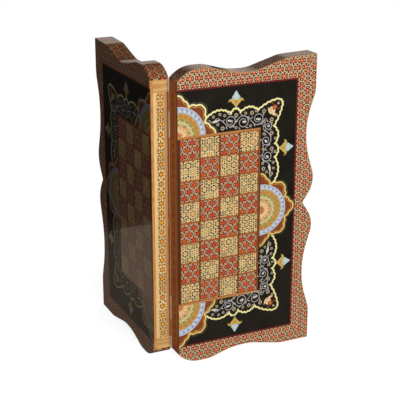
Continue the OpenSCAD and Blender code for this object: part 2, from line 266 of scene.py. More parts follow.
# Star borders. Sticks of dyed wood, bone and brass are bound into rods with a star in their
# section, and thin slices of them are glued down in rows along the wavy edge, mitred at the corners.

def nearest_star(made, along, across, look, first=0):
    """The offset along and across from the nearest star, its number, and how near its cell's rim is.

    The numbers count on from a first one. Stars stand a pitch apart in rows, and every other row is
    shifted by half a pitch. So they are two plain grids, and the nearer one of two candidates is
    kept. The rim lies half way between two stars, so it is found from the difference of their
    squared distances."""
    pitch, row = look["pitch"], look["row"]
    along = along - look["start"][0]
    across = across - look["start"][1]
    found = []
    squared = []
    for shift in (0, 0.5):
        column = math.floor(along / pitch + (0.5 - shift)) + shift
        line = math.floor(across / (2 * row) + (0.5 - shift)) + shift
        side = along - column * pitch
        rise = across - line * (2 * row)
        found.append((side, rise, column * 2 + line * row_number + first))
        squared.append(side * side + rise * rise)
    nearer = squared[1] < squared[0]
    side, rise, number = [near + (far - near) * nearer for near, far in zip(*found)]
    apart = abs(squared[1] - squared[0]) / (2 * math.hypot(pitch / 2, row))
    return side, rise, number, made.maths("MINIMUM", pitch / 2 - abs(side), apart)


def folded(made, side, rise, points):
    """Folds the places round a star onto its first point: distance out along it, and beside it.

    Also gives 1 on one flank of each point and 0 on the other, and the distance from the star's
    middle. The first point is on +rise."""
    sector = 2 * math.pi / points
    angle = made.maths("ARCTAN2", side, rise)
    off = angle - sector * round(angle / sector)
    radius = made.maths("SQRT", side * side + rise * rise)
    beside = radius * made.maths("SINE", off)
    return radius * made.maths("COSINE", off), abs(beside), beside > 0, radius


def sticks(made, out, beside, stick):
    """Triangular sticks packed side by side: a number for each, 1 on those whose point is turned
    the other way, and 1 on the lines between them.

    Three sets of parallel lines at 60 degrees, a stick's height apart, cut the plane into triangles.
    The way that a triangle points follows from the numbers of the three strips that it lies in."""
    height = stick * math.sqrt(3) / 2
    number = 0
    way = 1
    edge = 0
    for turn, weight, sign in ((90, 1, 1), (30, 7, -1), (-30, 43, 1)):
        place = (out * math.cos(math.radians(turn)) + beside * math.sin(math.radians(turn))) / height
        strip = math.floor(place)
        number = number + strip * weight
        way = way + strip * sign
        edge = made.maths("MAXIMUM", abs(made.maths("FRACT", place) - 0.5), edge)
    return number, way, edge > 0.5 - stick_line_w / height


def star_inlay(made, star, look):
    """Colours one slice: a star with six dark tips, bone between them, in a ground of small sticks.

    Pale and deep sticks lie point to point, and broken pale strips part the cells of the stars. Also
    gives 1 on the lines between the sticks."""
    side, rise, number, rim = star
    out, beside, flank, radius = folded(made, side, rise, 6)
    edge = (out - look["size"]) * 0.5 + beside * (math.sqrt(3) / 2)
    stick_number, way, line = sticks(made, out, beside, look["stick"])
    pale_chance = made.chance(stick_number * 1.7 + look["seed"])
    deep_chance = made.chance(stick_number * 2.3 + number + look["seed"])
    pale = made.ramp(pale_chance, *look["pale"], steps="CONSTANT")
    deep = made.ramp(deep_chance, *look["deep"], steps="CONSTANT")
    ground = made.mix(line, made.mix(way, pale, deep), look["line"])
    ground = made.mix((rim < look["net_w"]) * (1 - way * look["broken"]), ground, look["net"])
    ground = made.mix(radius > look["knot_r"], ground, look["knot"])
    core = made.ramp(made.chance(number), *look["core"])
    # One flank of each point is tinted with the flank colour: painted shade that makes the points look
    # faceted.
    core = made.mix(flank * 0.3, core, look["flank"])
    core = made.mix(radius < look["heart_r"], core, look["heart"])
    core = made.mix(out > look["size"] * look["tip_from"], core, look["tip"])
    colour = made.mix(radius < look["bone_r"], ground, look["bone"])
    return made.mix(edge < 0, colour, core), line


border_look = {
    "pitch": 15.75, "row": 11.4, "start": (0, 6.3), "size": 6.4, "heart_r": 1.2, "tip_from": 0.5,
    "bone_r": 5.1, "knot_r": 8.5, "net_w": 0.7, "broken": 0.3, "stick": 2.9, "seed": 3,
    "core": ((0, (244, 120, 66)), (0.4, (230, 94, 54)), (0.7, (214, 86, 58)), (1, (226, 130, 66))),
    "flank": (210, 84, 48), "heart": (252, 172, 120), "tip": (26, 8, 6), "bone": (252, 228, 188),
    "net": (255, 226, 180), "knot": (76, 34, 22), "line": (130, 80, 50),
    "pale": ((0, (186, 126, 80)), (0.5, (160, 92, 54)), (0.75, (150, 126, 76))),
    "deep": ((0, (62, 28, 18)), (0.45, (118, 60, 34)), (0.75, (84, 68, 40))),
}
stick_line_w = 0.05
line_depth = 0.01
row_number = 74
end_star_x = 155.2
side_star_up = 203.7
top_rows_out = 2
fillet_x, fillet_up = box_mm("red_fillet")[1, :2]

border = finish("star_border")
across, up = border.place()[:2]
from_end = abs(up) - fillet_up
from_side = across - fillet_x
at_end = from_end > from_side
along = at_end * (across - end_star_x) + (1 - at_end) * (up - side_star_up)
beyond = border.maths("MAXIMUM", from_end, from_side) + at_end * (up > 0) * top_rows_out
star = nearest_star(border, along, beyond, border_look)
colour, line = star_inlay(border, star, border_look)
border.lay(colour, coat=0.2, relief=line, height=line_depth)
border.on("star_border")


# Chess squares. Each is a square of star inlay: orange and red stars on brown for the dark ones,
# and small flowers of bone and green sticks for the light ones, four columns on each half.

columns = 4
grid_low, grid_high = box_mm("grid_stringing")
grid_x, grid_low_up = grid_low[:2]
square = (grid_high[0] - grid_x) / columns
cut_shift = 4
column_number = 11
half_number = 101
square_number = 997


def in_square(made):
    """Millimetres from the lower corner of the chess square, on the side of the spine, and a number
    for the square's first star. Each one is cut a little differently, so its slice is shifted by
    chance. The three steps keep the numbers of the columns, halves and squares apart."""
    across, up = made.place()[:2]
    column = (across - grid_x) / square
    row = (up - grid_low_up) / square
    number = math.floor(column) * column_number + math.floor(row)
    number = number + made.on_right() * half_number
    along = made.maths("FRACT", column) * square + (made.chance(number) - 0.5) * cut_shift
    rise = made.maths("FRACT", row) * square + (made.chance(number + 0.5) - 0.5) * cut_shift
    return along, rise, number * square_number


dark_look = {
    "pitch": 16.8, "row": 10.7, "start": (6.7, 5.4), "size": 6.3, "heart_r": 0.7, "tip_from": 0.52,
    "bone_r": 5, "knot_r": 8.3, "net_w": 0.65, "broken": 0.5, "stick": 2.9, "seed": 11,
    "core": ((0, (240, 90, 30)), (0.35, (228, 64, 32)), (0.7, (212, 56, 40)), (1, (226, 108, 38))),
    "flank": (196, 52, 26), "heart": (240, 124, 70), "tip": (30, 10, 8), "bone": (236, 186, 134),
    "net": (255, 232, 202), "knot": (40, 18, 12), "line": (130, 68, 38),
    "pale": ((0, (196, 116, 64)), (0.5, (166, 84, 46)), (0.85, (236, 200, 160))),
    "deep": ((0, (38, 16, 12)), (0.5, (120, 52, 28)), (0.8, (76, 60, 36))),
}
light_look = {
    "pitch": 16.3, "row": 11.1, "start": (15.6, 5.1), "size": 5.4, "heart_r": 1.3, "tip_from": 0.56,
    "bone_r": 3.4, "knot_r": 8.2, "net_w": 0.9, "broken": 0.9, "stick": 3.1, "seed": 29,
    "core": ((0, (254, 234, 170)), (0.5, (252, 218, 152)), (1, (242, 228, 150))),
    "flank": (244, 206, 136), "heart": (216, 112, 46), "tip": (52, 44, 22), "bone": (252, 230, 172),
    "net": (254, 230, 176), "knot": (70, 60, 28), "line": (200, 160, 96),
    "pale": ((0, (252, 228, 168)), (0.6, (232, 160, 96)), (0.8, (250, 216, 150))),
    "deep": ((0, (48, 42, 20)), (0.5, (120, 108, 54)), (0.7, (232, 196, 130)), (0.86, (204, 116, 60))),
}


def tiles(kind, look, left_warm_shade=0):
    """Lays one kind of square out of its slices. Those of the left half may be tinted orange as painted
    warm shade.
    """
    inlay = finish(f"{kind}_inlay")
    along, rise, number = in_square(inlay)
    colour, line = star_inlay(inlay, nearest_star(inlay, along, rise, look, number), look)
    if left_warm_shade:
        # The left half's slices are mixed towards orange: painted warm shade.
        colour = inlay.mix(inlay.on_right(), inlay.mix(left_warm_shade, colour, (250, 140, 50)), colour)
    inlay.lay(colour, relief=line, height=line_depth)
    inlay.on(f"{kind}_squares")


tiles("dark", dark_look)
tiles("light", light_look, left_warm_shade=0.16)


# Lines of the grid. Strips of brown wood part the squares, and a wider orange-brown strip closes
# the grid at its top, outer side and bottom. The strip along the spine is stained dark.

light_low, light_high = box_mm("light_squares")
stringing_w = columns * square - (light_high - light_low)[0]
stringing, (across, up, out), colour, pores = sawn(
    "stringing_wood", "up across out", (150, 78, 28), (84, 40, 14), 1.3)
column = (across - grid_x) / square + 0.5
from_upright = abs(stringing.maths("FRACT", column) - 0.5) * square
level = stringing.mix(pores, (206, 118, 50), (138, 68, 24))
colour = stringing.mix(from_upright > stringing_w / 2, colour, level)
stringing.lay(colour, relief=pores)
stringing.on("grid_stringing")

banding, (across, up, out), pale, pores = sawn(
    "banding_wood", "across up out", (220, 154, 80), (170, 104, 50), 1.6)
at_end = abs(up) > square * columns
brown = banding.mix(pores, (176, 104, 50), (128, 68, 32))
dark = banding.mix(pores, (92, 50, 26), (60, 30, 16))
# At the top and bottom ends the strip is pale on the right half and browner on the left one.
pale = banding.mix(banding.on_right(), brown, pale)
colour = banding.mix(at_end, banding.mix(across < grid_x, brown, dark), pale)
banding.lay(colour, relief=pores)
banding.on("grid_banding")


# Painted field. The panel round the grid is covered with black lacquer, rubbed smooth and
# varnished to a mirror gloss, inside a narrow fillet of dark red wood.

def clouded(name, fine, detail, *stops):
    """A new finish in drifting colours: soft noise, so many bumps a millimetre across, up and out."""
    made = finish(name)
    cloud = made.noise(*(way * grain for way, grain in zip(made.place(), fine)), detail)
    return made, made.ramp(cloud, *stops), cloud


red_wood, colour, cloud = clouded(
    "red_wood", (0.2, 0.2, 1), 3, (0, (88, 18, 16)), (0.5, (120, 34, 28)), (1, (152, 56, 40)))
red_wood.lay(colour, 0.4, coat=0.4)
red_wood.on("red_fillet")

lacquer, colour, cloud = clouded(
    "black_lacquer", (0.03, 0.03, 1), 4, (0, (24, 21, 17)), (1, (42, 37, 31)))
lacquer.lay(colour, cloud * 0.2 + 0.3, coat=0.27, sheen=0.1, relief=cloud, height=0.05)
lacquer.on("painted_field")


# Rosettes. Round medallions in the old manuscript manner are painted over the lacquer, cut by
# the grid and by the spine: red-brown petals with a gold edge round a blue ring of white leaves,
# a ring of gold leaves, a green ring, and a rose in the middle.

face_out = box_mm("painted_field")[1][2]
coat_height = 0.07
paints = {
    "red": ((152, 72, 36), (104, 42, 24)), "gold": ((255, 248, 180), (250, 222, 126)),
    "old_gold": ((250, 216, 124), (226, 168, 78)), "faint": ((112, 112, 84), (70, 66, 50)),
    "blue": ((182, 196, 224), (142, 164, 206)), "white": ((236, 230, 218), (200, 196, 194)),
    "navy": ((126, 146, 200), (96, 114, 172)), "amber": ((212, 176, 76), (174, 130, 48)),
    "orange": ((226, 130, 62), (200, 92, 42)), "russet": ((196, 126, 48), (152, 92, 34)),
    "green": ((160, 160, 98), (116, 122, 66)), "leaf": ((222, 212, 136), (164, 156, 84)),
    "rose": ((240, 180, 112), (218, 140, 80)), "blush": ((250, 218, 172), (238, 184, 128)),
    "scroll": ((204, 196, 194), (158, 150, 152)), "cream": ((206, 192, 156), (150, 134, 104)),
    "seed": ((84, 60, 44), (44, 30, 22)), "sky": ((200, 224, 222), (146, 184, 188)),
    "bud": ((224, 192, 100), (180, 136, 54)),
}
layers = {name: [] for name in paints}


def in_world(half, places):
    """World places of points in millimetres across, up and out from the hinge axis at mid height."""
    across, up, out = places.T / 1000
    across, up, out = hinge_x + across, mid_height + up, hinge_y - out
    return np.column_stack((across, out, up) if half == "right" else (out, across, up))


def on_panel(half, places):
    """World places of points on a painted face.

    Each has squares across and up from the grid's lower corner at the spine, and coats of paint."""
    corner = (grid_x, grid_low_up, face_out)
    return in_world(half, corner + places * (square, square, coat_height))


def placed(name, data):
    """A new object of a mesh, a lamp or a camera, put into the scene."""
    piece = bpy.data.objects.new(name, data)
    bpy.context.scene.collection.objects.link(piece)
    return piece


def joined(name, made, parts, lay_out):
    """Joins parts into one piece for each half, laid out in the world by a function, and fixes it.

    Each part is its points and its faces, as rows of corners. The left half mirrors the right one,
    so its faces are turned over."""
    for half in halves:
        points = []
        faces = []
        way = 1 if half == "right" else -1
        for places, blocks in parts:
            start = sum(map(len, points))
            points.append(lay_out(half, places))
            for block in blocks:
                faces += (start + block[:, ::way]).tolist()
        mesh = bpy.data.meshes.new(f"{half}_{name}")
        mesh.from_pydata(np.vstack(points), [], faces)
        mesh.materials.append(made.block)
        piece = placed(f"{half}_{name}", mesh)
        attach(piece, f"{half}_half")


def patch(outline, low, high):
    """A filled patch of paint: a closed outline, carried from one number of coats to another."""
    x, y = outline.T
    if np.sum(x * np.roll(y, -1) - y * np.roll(x, -1)) < 0:
        outline = outline[::-1]
    count = len(outline)
    ring = np.arange(count)
    after = (ring + 1) % count
    places = np.vstack([np.insert(outline, 2, coats, 1) for coats in (low, high)])
    sides = np.column_stack((ring, after, after + count, ring + count))
    return places, [np.stack((ring[::-1], ring + count)), sides]


def sweep(sections):
    """Joins like sections along a path into a closed skin: rows are sections, columns their corners."""
    count, corners = sections.shape[:2]
    index = np.arange(count * corners).reshape(count, corners)
    here, ahead = index[:-1], index[1:]
    skin = np.stack((here, ahead, np.roll(ahead, -1, 1), np.roll(here, -1, 1)), 2)
    ends = np.stack((index[0], index[-1, ::-1]))
    return sections.reshape(-1, 3), [skin.reshape(-1, 4), ends]


def stroke(path, width, low, high):
    """A brush line: a low rounded ridge along a path, with one width or one for each point."""
    ahead = np.vstack((path[1] - path[0], path[2:] - path[:-2], path[-1] - path[-2]))
    ahead /= np.linalg.norm(ahead, axis=1, keepdims=True)
    left = np.column_stack((-ahead[:, 1], ahead[:, 0])) * np.broadcast_to(width, len(path))[:, None]
    ridge = np.array([(-0.5, 0), (-0.36, 0.8), (0, 1), (0.36, 0.8), (0.5, 0)])
    flat = path[:, None] + left[:, None] * ridge[None, :, :1]
    height = np.broadcast_to(low + (high - low) * ridge[:, 1], flat.shape[:2])
    return sweep(np.dstack((flat, height)))


def band(inner, outer, low, high):
    """A flat band of paint between two curves that both run counterclockwise."""
    corners = ((outer, low), (outer, high), (inner, high), (inner, low))
    return sweep(np.stack([np.insert(curve, 2, coats, 1) for curve, coats in corners], 1))


def polar(centre, radius, angle):
    """Points at a radius and an angle from a centre, in squares and degrees."""
    turn = np.radians(angle)
    return np.stack((centre[0] + radius * np.cos(turn), centre[1] + radius * np.sin(turn)), -1)


def leaf(root, tip, width, count=6):
    """The outline of a pointed leaf: its half width is a sine from root to tip, fuller near the root."""
    root = np.asarray(root, float)
    along = np.asarray(tip, float) - root
    share = np.linspace(0, 1, count + 1)
    swell = np.sin(math.pi * share ** 0.8) * width / 2
    left = np.array([-along[1], along[0]]) / np.linalg.norm(along)
    middle = root + share[:, None] * along
    return np.vstack((middle[:-1] + left * swell[:-1, None], (middle - left * swell[:, None])[:0:-1]))


def flower(centre, radius, petals, turn=0, depth=0.28, count=4):
    """The outline of a small open flower: the radius swells and falls once for each petal."""
    angle = np.arange(petals * count) * 360 / (petals * count)
    swell = 1 - depth * (0.5 - 0.5 * np.cos(np.radians(angle * petals)))
    return polar(centre, radius * swell, angle + turn)


petal_root_r = 1.42
slanted_short = 0.08
ring_r = 1.35
ring_inner_r = 1.09
gold_inner_r = 0.84
gold_middle_r = (gold_inner_r + ring_inner_r) / 2
green_middle_r = 0.68
green_inner_r = 0.56
leaf_rings = (
    ("white", 5.6, 11.25, (ring_inner_r + 0.04, -3), (ring_r - 0.05, 3), 0.11, 1.8, 2.6),
    ("leaf", 7.5, 15, (gold_middle_r, -2), (gold_middle_r - 0.09, 6.5), 0.06, 2.4, 3.1),
    ("leaf", 7.5, 15, (gold_middle_r, 2), (gold_middle_r + 0.09, 6.5), 0.06, 2.4, 3.1),
    ("leaf", 9, 18, (green_inner_r + 0.02, -5), (gold_inner_r, 3), 0.1, 2.8, 3.5),
    ("blush", 11.25, 22.5, (0.16, 0), (green_inner_r - 0.05, 5), 0.13, 3.2, 3.9),
    ("orange", 11.25, 22.5, (0.05, 11), (0.3, 12), 0.07, 3.2, 4),
)
flower_rings = (
    ("navy", 5.6, 11.25, (ring_r - 0.1, 6), 0.04, 3, 1.8, 2.5),
    ("blush", 5.6, 11.25, (ring_inner_r + 0.06, 4), 0.03, 3, 1.8, 2.5),
    ("sky", 5.6, 11.25, (ring_r - 0.17, 2.4), 0.032, 3, 1.8, 2.5),
    ("orange", 7.5, 15, (gold_middle_r, 0), 0.075, 5, 2.4, 3.2),
    ("blush", 9, 18, (green_inner_r + 0.12, 8), 0.06, 5, 2.8, 3.6),
)


def rosette(centre, start, end, tall, petal_r, petal_top_r, edge_paint):
    """Paints the part of a rosette between two angles. It has eight petals, each 45 degrees apart.

    Drawn by hand, each is a little taller or lower than it is wide, and its petals reach one radius
    at the side and another one above, and the slanted ones are a little short. Its rings of leaves
    and flowers each have a paint, a first angle, a step, places by radius and angle, a width or a
    size and petals, and coats. Nothing is painted past the lines where the grid or spine cuts it."""
    angle = np.linspace(start, end, int(end - start) * 2 + 1)

    def ring(radius):
        """The curve that has one radius all round, or one for each angle."""
        return polar(centre, radius, angle)

    def wave(times):
        """A sine that swings so many times in a full turn."""
        return np.sin(np.radians(angle * times))

    off = np.abs((angle + 22.5) % 45 - 22.5) / 22.5
    scallop = 0.06 * np.abs(np.sin(2 * math.pi * off)) * (off < 1)
    reach = petal_r + (petal_top_r - petal_r) * wave(1) ** 4 - slanted_short * wave(2) ** 2
    petal = petal_root_r + (reach - petal_root_r) * (1 - off) + scallop
    amber_edge = ring_inner_r - 0.03 + 0.05 * np.abs(wave(8))
    green_edge = gold_inner_r - 0.05 + 0.07 * np.abs(wave(6))
    heart = green_inner_r * (1 + 0.09 * np.cos(np.radians(angle * 10)))
    painted = [
        ("red", band(ring(ring_r - 0.02), ring(petal), 0, 1.4)),
        (edge_paint, stroke(ring(petal), 0.09, 0, 3)),
        ("faint", stroke(ring(petal + 0.12), 0.022, 0, 1.2)),
        ("amber", stroke(ring(np.maximum(petal - 0.11, ring_r)), 0.026, 1.4, 2.2)),
        ("blue", band(ring(ring_inner_r - 0.03), ring(ring_r), 0, 1.8)),
        ("white", stroke(ring(ring_r), 0.035, 1, 3)),
        ("amber", band(ring(gold_inner_r - 0.03), ring(amber_edge), 0, 2.4)),
        ("green", band(ring(green_inner_r - 0.1), ring(green_edge), 0, 2.8)),
        ("rose", band(ring(0.02), ring(heart), 0, 3.2)),
    ]
    for hand in (-1, 1):
        painted += [
            ("russet", stroke(ring(gold_middle_r + 0.09 * hand * wave(12)), 0.022, 2.4, 3.3)),
            ("blush", stroke(ring(green_middle_r + 0.075 * hand * wave(10)), 0.024, 2.8, 3.7)),
        ]
    for paint, first, step, root, tip, width, low, high in leaf_rings:
        for turn in np.arange(start + first, end, step):
            ends = [polar(centre, radius, turn + lead) for radius, lead in (root, tip)]
            painted.append((paint, patch(leaf(*ends, width), low, high)))
    for paint, first, step, (radius, lead), size, petals, low, high in flower_rings:
        for turn in np.arange(start + first, end, step):
            spot = polar(centre, radius, turn + lead)
            painted.append((paint, patch(flower(spot, size, petals, turn), low, high)))
    lowest = 0 if start >= 0 else -math.inf
    highest = 0 if end <= 0 else math.inf
    for paint, (places, blocks) in painted:
        across, up, coats = places.T
        up = centre[1] + np.clip((up - centre[1]) * tall, lowest, highest)
        layers[paint].append((np.column_stack((np.maximum(across, centre[0]), up, coats)), blocks))


grid_rows = 8
spine_clear = 0.15
spine_s = (spine_clear - grid_x) / square
outer_s = columns + 0.1
rosette((outer_s, grid_rows / 2 + 0.06), -90, 90, 0.93, 1.78, 1.94, "old_gold")
rosette((spine_s, grid_rows + 0.1), 0, 90, 1.02, 1.86, 1.86, "gold")
rosette((spine_s, -0.1), -90, 0, 1.12, 1.86, 1.86, "old_gold")


# Lace. A scalloped gold line runs from rosette to rosette round the corners of the grid.
# Inside it, white scrolls with curled ends and small cream flowers lie on the black lacquer.

def bow(start, end, rise, scallops, ripple=0.045, count=8):
    """A stretch of the scalloped line: a parabola from start to end with small even scallops on it."""
    start = np.asarray(start, float)
    along = np.asarray(end, float) - start
    left = np.array([-along[1], along[0]]) / np.linalg.norm(along)
    share = np.linspace(0, 1, scallops * count, endpoint=False)
    swell = 4 * rise * share * (1 - share) + ripple * np.abs(np.sin(math.pi * scallops * share))
    return start + share[:, None] * along + left * swell[:, None]


def flowing(points, steps=8):
    """A smooth line through points: cubics whose slope at a point is that between its neighbours."""
    points = np.asarray(points, float)
    ends = np.vstack((2 * points[0] - points[1], points, 2 * points[-1] - points[-2]))
    slope = (ends[2:] - ends[:-2]) / 2
    share = np.linspace(0, 1, steps, endpoint=False)[None, :, None]
    here, there = points[:-1, None], points[1:, None]
    leaving, arriving = slope[:-1, None], slope[1:, None]
    curve = (here * (2 * share ** 3 - 3 * share ** 2 + 1) + there * (3 * share ** 2 - 2 * share ** 3)
             + leaving * (share ** 3 - 2 * share ** 2 + share) + arriving * (share ** 3 - share ** 2))
    return np.vstack((curve.reshape(-1, 2), points[-1:]))


def curl(centre, radius, start, turns, hand):
    """A scroll's curled end: a spiral whose radius shrinks evenly as it turns."""
    share = np.linspace(0, 1, 30)
    return polar(centre, radius * (1 - 0.62 * share), start + hand * 360 * turns * share)


lace_bows = [
    ((1.35, 8.85), 0.24, 6), ((2.56, 8.89), 0.05, 2), ((2.78, 9.12), 0.05, 2), ((3.00, 8.89), 0.21, 5),
    ((3.93, 8.92), 0.09, 5), ((5.00, 9.34), 0.1, 3), ((5.13, 8.96), 0.04, 4), ((4.73, 8.11), 0.2, 4),
    ((4.80, 7.24), 0.05, 2), ((4.99, 6.95), 0.05, 2), ((4.80, 6.61), 0.23, 6), ((4.75, 5.34), 0, 0),
]
curls = [
    ((2.5, 8.57), 0.29, -100, 1.35, 1), ((3.16, 8.46), 0.29, 80, 1.35, -1),
    ((3.92, 8.54), 0.29, -110, 1.35, 1), ((4.45, 8.13), 0.21, 80, 1.3, -1),
    ((4.36, 7.45), 0.25, 10, 1.35, -1), ((4.42, 6.69), 0.27, 190, 1.35, 1),
]
stems = [
    [(1.42, 8.74), (1.62, 8.62), (1.85, 8.76), (2.12, 8.6), (2.35, 8.38), (2.62, 8.36), (2.86, 8.6),
     (3.1, 8.75), (3.4, 8.66), (3.62, 8.42), (3.85, 8.26), (4.16, 8.36), (4.3, 8.5), (4.42, 8.36)],
    [(4.3, 8.3), (4.22, 8.0), (4.42, 7.84), (4.6, 7.6), (4.56, 7.3), (4.36, 7.12), (4.2, 6.85),
     (4.26, 6.5), (4.48, 6.36), (4.62, 6.1), (4.56, 5.84), (4.64, 5.62)],
]
commas = [
    ((1.58, 8.6), (2.0, 8.68), 0.11), ((4.52, 6.3), (4.62, 5.88), 0.13), ((2.36, 8.62), (2.62, 8.56), 0.1),
    ((3.1, 8.48), (3.34, 8.46), 0.1), ((3.8, 8.54), (4.08, 8.48), 0.1), ((4.4, 8.16), (4.54, 8.08), 0.09),
    ((4.28, 7.48), (4.42, 7.36), 0.1), ((4.36, 6.72), (4.52, 6.6), 0.11),
]
large_blooms = [
    (2.12, 8.28), (2.8, 8.82), (3.6, 8.84), (4.22, 8.86), (4.63, 8.42), (4.64, 7.77), (4.66, 7.02),
    (4.25, 6.1), (4.66, 5.8),
]
small_blooms = [
    (1.66, 8.86), (1.98, 8.94), (2.22, 8.86), (1.88, 8.48), (2.8, 8.24), (3.28, 8.86), (3.54, 8.24),
    (4.24, 8.36), (4.24, 7.78), (4.2, 7.06), (4.76, 6.34), (4.78, 6.06), (4.42, 5.92), (4.86, 8.6),
    (2.46, 8.96), (3.82, 8.92), (4.84, 7.5), (4.84, 6.86), (4.2, 6.36),
]


def flip(places, side):
    """Keeps the upper places, or turns them over to the lower side of the board where the side is -1.

    The brushwork there lies up to a quarter of a square higher towards the outer side."""
    places = np.array(places, float)
    if side < 0:
        places[..., 1] = grid_rows - places[..., 1]
        lift = np.interp(places[..., 1], (-1.3, -0.1, 0.9, 1.5, 2.7), (0.13, 0.24, 0.24, 0.1, 0.04))
        places[..., 1] += lift * np.interp(places[..., 0], (2.5, 4.4), (0.1, 1))
    return places


ends = [start for start, *bend in lace_bows[1:]]
edge = [bow(start, end, rise, scallops) for (start, rise, scallops), end in zip(lace_bows, ends)]
lace = [("gold", stroke, np.vstack((*edge, ends[-1])), 0.085, 0, 3)]
lace += [("scroll", stroke, flowing(points), 0.032, 0, 1.6) for points in stems]
for centre, radius, start, turns, hand in curls:
    line = curl(centre, radius, start, turns, hand)
    lace.append(("scroll", stroke, line, np.linspace(0.04, 0.028, len(line)), 0, 2))
    for turn in range(20, 360, 68):
        hair = leaf(polar(centre, radius * 1.02, turn), polar(centre, radius * 1.36, turn + 24), 0.05)
        lace.append(("scroll", patch, hair, 0, 1.2))
lace += [("white", patch, leaf(root, tip, width), 0, 2.4) for root, tip, width in commas]
for turn, spot in enumerate(large_blooms + small_blooms):
    size = 0.11 if turn < len(large_blooms) else 0.08
    lace.append(("cream", patch, flower(spot, size, 5, turn * 25), 0, 1.8))
    lace.append(("seed", patch, flower(spot, size * 0.45, 4, turn * 40, 0.1, 2), 1.8, 2.3))
for side in (1, -1):
    for paint, shape, line, *sizes in lace:
        layers[paint].append(shape(flip(line, side), *sizes))


# Corner flowers and finials. A rose with a pale calyx fills each corner of the lace, and four
# buds, pale blue over a pair of gold leaves, point outwards from it.

bud_parts = (
    ("bud", [(0, 0.02), (0.14, 0.0), (0.26, 0.04), (0.35, 0.0), (0.4, -0.14), (0.33, -0.09), (0.26, -0.08),
             (0.22, -0.16), (0.12, -0.23), (0.08, -0.31), (0, -0.35)], 0, 1.6),
    ("sky", [(0, 0.4), (0.07, 0.3), (0.13, 0.2), (0.21, 0.1), (0.19, 0.02), (0, -0.04)], 0, 2.2),
    ("white", [(0, 0.26), (0.05, 0.17), (0.07, 0.1), (0, 0.04)], 2.2, 2.8),
    ("white", [(0, -0.33), (0.04, -0.36), (0.03, -0.4), (0, -0.41)], 0, 2),
    ("orange", [(0, -0.05), (0.06, -0.11), (0.04, -0.18), (0, -0.21)], 1.6, 2.3),
)
corner_parts = (
    ("blush", flower((4.66, 8.86), 0.2, 4, 30), 0, 1.8),
    ("blush", leaf((4.6, 8.66), (4.42, 9.02), 0.14), 0, 2),
    ("blush", leaf((4.62, 8.68), (4.92, 8.62), 0.12), 0, 2),
    ("rose", leaf((4.56, 8.76), (4.64, 8.98), 0.06), 1.8, 2.6),
    ("red", flower((4.78, 8.99), 0.15, 5, 10), 1.8, 2.8),
    ("orange", flower((4.78, 8.99), 0.09, 4, 30), 2.8, 3.4),
    ("red", flower((4.66, 9.17), 0.06, 5), 0, 1.6),
    ("red", flower((4.97, 8.9), 0.06, 5), 0, 1.6),
    ("cream", flower((4.96, 9.15), 0.07, 5), 0, 1.6),
)
lower_corner_lift = 0.14


def set_bud(half_outline, spot, heading, side):
    """Closes a half outline by its mirror image, turns it to the bud's heading and puts it there."""
    x, y = np.vstack((half_outline, np.multiply(half_outline[-2:0:-1], (-1, 1)))).T
    cos, sin = math.cos(math.radians(heading)), math.sin(math.radians(heading))
    rise = spot[1] + x * sin + y * cos - grid_rows / 2
    return np.column_stack((spot[0] + x * cos - y * sin, grid_rows / 2 + side * rise))


for side, top_bud, outer_bud in ((1, (2.79, 9.57), (5.43, 7.0)), (-1, (2.85, 9.6), (5.43, 6.76))):
    for spot, heading in ((top_bud, 0), (outer_bud, -90)):
        for paint, half_outline, low, high in bud_parts:
            layers[paint].append(patch(set_bud(half_outline, spot, heading, side), low, high))
    for paint, outline, low, high in corner_parts:
        if side < 0:
            outline = outline * (1, -1) + (0, grid_rows + lower_corner_lift)
        layers[paint].append(patch(outline, low, high))

for name, (pale, deep) in paints.items():
    paint, colour, brush = clouded(name + "_paint", (0.5, 0.5, 1), 4, (0, deep), (0.62, pale))
    # On the left half the paint is mixed towards dark brown: painted shade of the half that faces away from
    # the lamp.
    colour = paint.mix(paint.on_right(), paint.mix(0.45, colour, (56, 34, 18)), colour)
    paint.lay(colour, 0.4, coat=0.5, relief=brush)
    joined(name + "_painting", paint, layers[name], on_panel)


# Edge inlay. Slices of the same rods follow the wavy edges, so their rows bend with the wood.
# They overhang the face and the rim a little, where their thickness shows as a pale line.

def points_of(mesh):
    """The places of a mesh's points, as rows."""
    points = np.zeros(len(mesh.vertices) * 3, np.float32)
    mesh.vertices.foreach_get("co", points)
    return points.reshape(-1, 3).astype(float)


def follow_edge(made, half, name, rising):
    """Copies an edge strip, and stores how far along the wavy edge each of its points lies.

    The points of the faces that look outwards, taken in order, give the length of the edge. The
    faces towards the playing side and the rim show the bare sides of the slices."""
    node = nodes[f"{half}_{name}"]
    mesh = node.data.copy()
    merged = bmesh.new()
    merged.from_mesh(mesh)
    bmesh.ops.remove_doubles(merged, verts=merged.verts, dist=1e-6)
    merged.to_mesh(mesh)
    merged.free()
    points = points_of(mesh)
    normals = np.array([face.normal for face in mesh.polygons])
    across, thick = (0, 1) if half == "right" else (1, 0)
    along, beyond = (2, across) if rising else (across, 2)
    run, reach = points[:, along], points[:, beyond]
    outwards = normals[:, beyond] * (1 if rising else np.sign(reach.mean() - mid_height))
    outer = np.unique([corner for face, look in zip(mesh.polygons, outwards) if look > 0.2
                       for corner in face.vertices])
    order = outer[np.argsort(run[outer])]
    steps = np.hypot(np.diff(run[order]), np.diff(reach[order]))
    far = np.interp(run, run[order], np.concatenate(([0], np.cumsum(steps)))) * 1000
    bare = np.abs(normals[:, thick]) > 0.9
    for title, domain, values in (("edge_run", "POINT", far), ("bare", "FACE", bare)):
        stored = mesh.attributes.new(title, "FLOAT", domain)
        stored.data.foreach_set("value", values.astype(np.float32))
    mesh.shade_smooth()
    mesh.set_sharp_from_angle(angle=math.radians(30))
    mesh.materials.clear()
    mesh.materials.append(made.block)
    piece = placed(f"{half}_{name}_slices", mesh)
    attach(piece, f"{half}_half")
    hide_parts(node.name)


